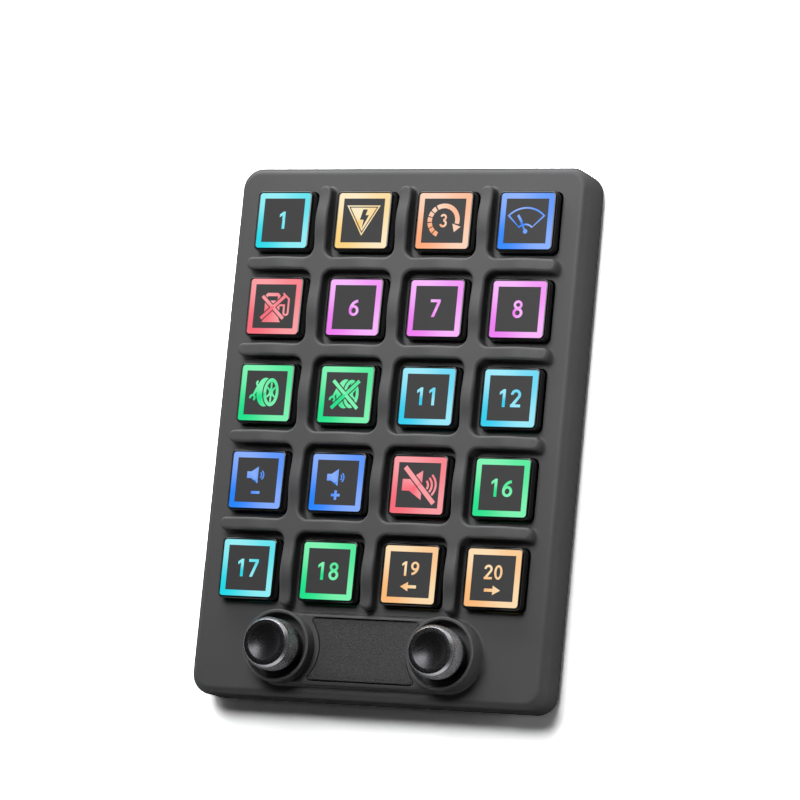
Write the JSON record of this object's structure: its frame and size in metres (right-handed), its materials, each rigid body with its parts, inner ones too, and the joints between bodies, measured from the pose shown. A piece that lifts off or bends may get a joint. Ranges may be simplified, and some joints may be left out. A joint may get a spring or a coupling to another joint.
{
  "type": "illuminated key panel",
  "caption": "Flat desk control panel with a grid of lit push keys between raised finger ribs and a push-turn knob in a cup at each side of a bare name plate.",
  "frame": {"origin": "centre of the outline in plan, on the plane that the rubber feet stand on", "axes": "+Z out of the keys' face, +Y along the panel's length towards the end away from the knobs, +X to the right seen from above"},
  "size_m": [0.112, 0.158, 0.0275],
  "materials": {
    "housing_plastic": "fine satin moulded",
    "plate_grain": "coarse grain",
    "board_laminate": "solder mask",
    "chip_epoxy": "matt",
    "lamp_resin": "clear",
    "switch_nylon": "moulded",
    "socket_steel": "tinned",
    "foot_rubber": "matt",
    "insert_brass": "turned",
    "screw_steel": "blackened",
    "encoder_metal": "plated",
    "nut_metal": "dark plated",
    "knob_aluminium": "black anodised",
    "cap_gloss": "polished",
    "light_cyan": "lit from behind",
    "light_amber": "lit from behind",
    "light_salmon": "lit from behind",
    "light_blue": "lit from behind",
    "light_red": "lit from behind",
    "light_magenta": "lit from behind",
    "light_green": "lit from behind",
    "light_sky": "lit from behind",
    "light_orange": "lit from behind"
  },
  "bodies": {
    "root": {"front_housing": "housing_plastic", "back_cover": "housing_plastic", "name_plate": "plate_grain", "circuit_board": "board_laminate", "controller_chips": "chip_epoxy", "key_lamps": "lamp_resin", "switch_bodies": "switch_nylon", "usb_socket": "socket_steel", "rubber_feet": "foot_rubber", "mount_inserts": "insert_brass", "cover_screws": "screw_steel", "encoder_bodies": "encoder_metal", "encoder_nuts": "nut_metal"},
    "key_01": {"key_cap_01": "cap_gloss", "key_light_01": "light_cyan"},
    "key_02": {"key_cap_02": "cap_gloss", "key_light_02": "light_amber"},
    "key_03": {"key_cap_03": "cap_gloss", "key_light_03": "light_salmon"},
    "key_04": {"key_cap_04": "cap_gloss", "key_light_04": "light_blue"},
    "key_05": {"key_cap_05": "cap_gloss", "key_light_05": "light_red"},
    "key_06": {"key_cap_06": "cap_gloss", "key_light_06": "light_magenta"},
    "key_07": {"key_cap_07": "cap_gloss", "key_light_07": "light_magenta"},
    "key_08": {"key_cap_08": "cap_gloss", "key_light_08": "light_magenta"},
    "key_09": {"key_cap_09": "cap_gloss", "key_light_09": "light_green"},
    "key_10": {"key_cap_10": "cap_gloss", "key_light_10": "light_green"},
    "key_11": {"key_cap_11": "cap_gloss", "key_light_11": "light_sky"},
    "key_12": {"key_cap_12": "cap_gloss", "key_light_12": "light_sky"},
    "key_13": {"key_cap_13": "cap_gloss", "key_light_13": "light_blue"},
    "key_14": {"key_cap_14": "cap_gloss", "key_light_14": "light_blue"},
    "key_15": {"key_cap_15": "cap_gloss", "key_light_15": "light_red"},
    "key_16": {"key_cap_16": "cap_gloss", "key_light_16": "light_green"},
    "key_17": {"key_cap_17": "cap_gloss", "key_light_17": "light_cyan"},
    "key_18": {"key_cap_18": "cap_gloss", "key_light_18": "light_green"},
    "key_19": {"key_cap_19": "cap_gloss", "key_light_19": "light_orange"},
    "key_20": {"key_cap_20": "cap_gloss", "key_light_20": "light_orange"},
    "rotor_left": {"encoder_rotor_left": "switch_nylon"},
    "knob_left": {"encoder_shaft_left": "encoder_metal", "knob_left": "knob_aluminium"},
    "rotor_right": {"encoder_rotor_right": "switch_nylon"},
    "knob_right": {"encoder_shaft_right": "encoder_metal", "knob_right": "knob_aluminium"}
  },
  "joints": [
    {"name": "key_01_press", "type": "slide", "parent": "root", "child": "key_01", "axis": [0, 0, -1], "range_m": [0, 0.003], "stiffness_N_per_m": 120, "springref_m": -0.0015},
    {"name": "key_02_press", "type": "slide", "parent": "root", "child": "key_02", "axis": [0, 0, -1], "range_m": [0, 0.003], "stiffness_N_per_m": 120, "springref_m": -0.0015},
    {"name": "key_03_press", "type": "slide", "parent": "root", "child": "key_03", "axis": [0, 0, -1], "range_m": [0, 0.003], "stiffness_N_per_m": 120, "springref_m": -0.0015},
    {"name": "key_04_press", "type": "slide", "parent": "root", "child": "key_04", "axis": [0, 0, -1], "range_m": [0, 0.003], "stiffness_N_per_m": 120, "springref_m": -0.0015},
    {"name": "key_05_press", "type": "slide", "parent": "root", "child": "key_05", "axis": [0, 0, -1], "range_m": [0, 0.003], "stiffness_N_per_m": 120, "springref_m": -0.0015},
    {"name": "key_06_press", "type": "slide", "parent": "root", "child": "key_06", "axis": [0, 0, -1], "range_m": [0, 0.003], "stiffness_N_per_m": 120, "springref_m": -0.0015},
    {"name": "key_07_press", "type": "slide", "parent": "root", "child": "key_07", "axis": [0, 0, -1], "range_m": [0, 0.003], "stiffness_N_per_m": 120, "springref_m": -0.0015},
    {"name": "key_08_press", "type": "slide", "parent": "root", "child": "key_08", "axis": [0, 0, -1], "range_m": [0, 0.003], "stiffness_N_per_m": 120, "springref_m": -0.0015},
    {"name": "key_09_press", "type": "slide", "parent": "root", "child": "key_09", "axis": [0, 0, -1], "range_m": [0, 0.003], "stiffness_N_per_m": 120, "springref_m": -0.0015},
    {"name": "key_10_press", "type": "slide", "parent": "root", "child": "key_10", "axis": [0, 0, -1], "range_m": [0, 0.003], "stiffness_N_per_m": 120, "springref_m": -0.0015},
    {"name": "key_11_press", "type": "slide", "parent": "root", "child": "key_11", "axis": [0, 0, -1], "range_m": [0, 0.003], "stiffness_N_per_m": 120, "springref_m": -0.0015},
    {"name": "key_12_press", "type": "slide", "parent": "root", "child": "key_12", "axis": [0, 0, -1], "range_m": [0, 0.003], "stiffness_N_per_m": 120, "springref_m": -0.0015},
    {"name": "key_13_press", "type": "slide", "parent": "root", "child": "key_13", "axis": [0, 0, -1], "range_m": [0, 0.003], "stiffness_N_per_m": 120, "springref_m": -0.0015},
    {"name": "key_14_press", "type": "slide", "parent": "root", "child": "key_14", "axis": [0, 0, -1], "range_m": [0, 0.003], "stiffness_N_per_m": 120, "springref_m": -0.0015},
    {"name": "key_15_press", "type": "slide", "parent": "root", "child": "key_15", "axis": [0, 0, -1], "range_m": [0, 0.003], "stiffness_N_per_m": 120, "springref_m": -0.0015},
    {"name": "key_16_press", "type": "slide", "parent": "root", "child": "key_16", "axis": [0, 0, -1], "range_m": [0, 0.003], "stiffness_N_per_m": 120, "springref_m": -0.0015},
    {"name": "key_17_press", "type": "slide", "parent": "root", "child": "key_17", "axis": [0, 0, -1], "range_m": [0, 0.003], "stiffness_N_per_m": 120, "springref_m": -0.0015},
    {"name": "key_18_press", "type": "slide", "parent": "root", "child": "key_18", "axis": [0, 0, -1], "range_m": [0, 0.003], "stiffness_N_per_m": 120, "springref_m": -0.0015},
    {"name": "key_19_press", "type": "slide", "parent": "root", "child": "key_19", "axis": [0, 0, -1], "range_m": [0, 0.003], "stiffness_N_per_m": 120, "springref_m": -0.0015},
    {"name": "key_20_press", "type": "slide", "parent": "root", "child": "key_20", "axis": [0, 0, -1], "range_m": [0, 0.003], "stiffness_N_per_m": 120, "springref_m": -0.0015},
    {"name": "knob_left_turn", "type": "hinge", "parent": "root", "child": "rotor_left", "pos_m": [-0.026, -0.0646, 0.0155], "axis": [0, 0, 1], "continuous": true},
    {"name": "knob_left_push", "type": "slide", "parent": "rotor_left", "child": "knob_left", "axis": [0, 0, -1], "range_m": [0, 0.0005], "stiffness_N_per_m": 2000, "springref_m": -0.001},
    {"name": "knob_right_turn", "type": "hinge", "parent": "root", "child": "rotor_right", "pos_m": [0.026, -0.0646, 0.0155], "axis": [0, 0, 1], "continuous": true},
    {"name": "knob_right_push", "type": "slide", "parent": "rotor_right", "child": "knob_right", "axis": [0, 0, -1], "range_m": [0, 0.0005], "stiffness_N_per_m": 2000, "springref_m": -0.001}
  ]
}
